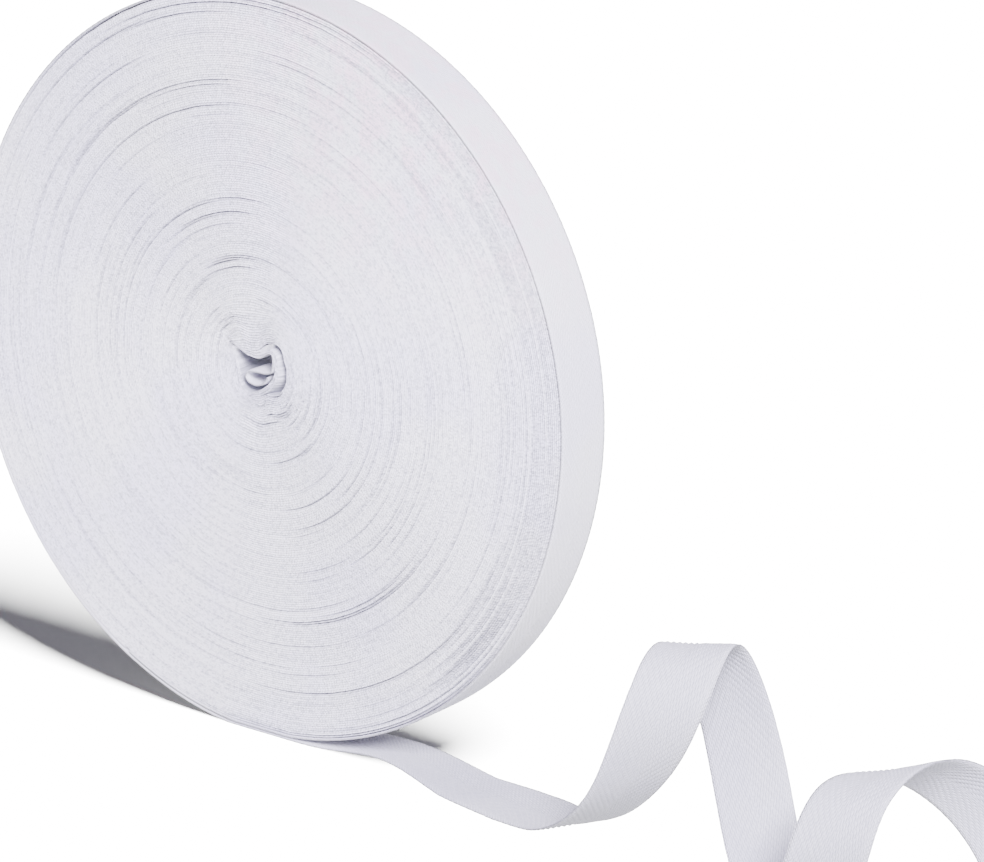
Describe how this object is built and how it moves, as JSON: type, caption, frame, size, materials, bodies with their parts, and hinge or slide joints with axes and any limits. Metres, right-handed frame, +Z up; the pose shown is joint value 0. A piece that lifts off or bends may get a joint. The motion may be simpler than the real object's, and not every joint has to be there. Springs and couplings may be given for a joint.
{
  "type": "roll of twill tape",
  "caption": "Coreless roll of white cotton herringbone twill tape standing on its edge, with a loose end that curls away along the floor.",
  "frame": {"origin": "on the floor, in the middle of the small flat that the roll stands on, halfway across the tape", "axes": "+X along the floor, the way the loose end leaves; +Y along the roll's axis, towards its back face; +Z up"},
  "size_m": [0.2678, 0.045, 0.1496],
  "materials": {
    "cotton_twill": "undyed white cotton tape in a herringbone weave, matt, with fine turns showing at the roll's faces"
  },
  "bodies": {
    "root": {"wound_roll": "cotton_twill", "loose_end": "cotton_twill"}
  },
  "joints": []
}
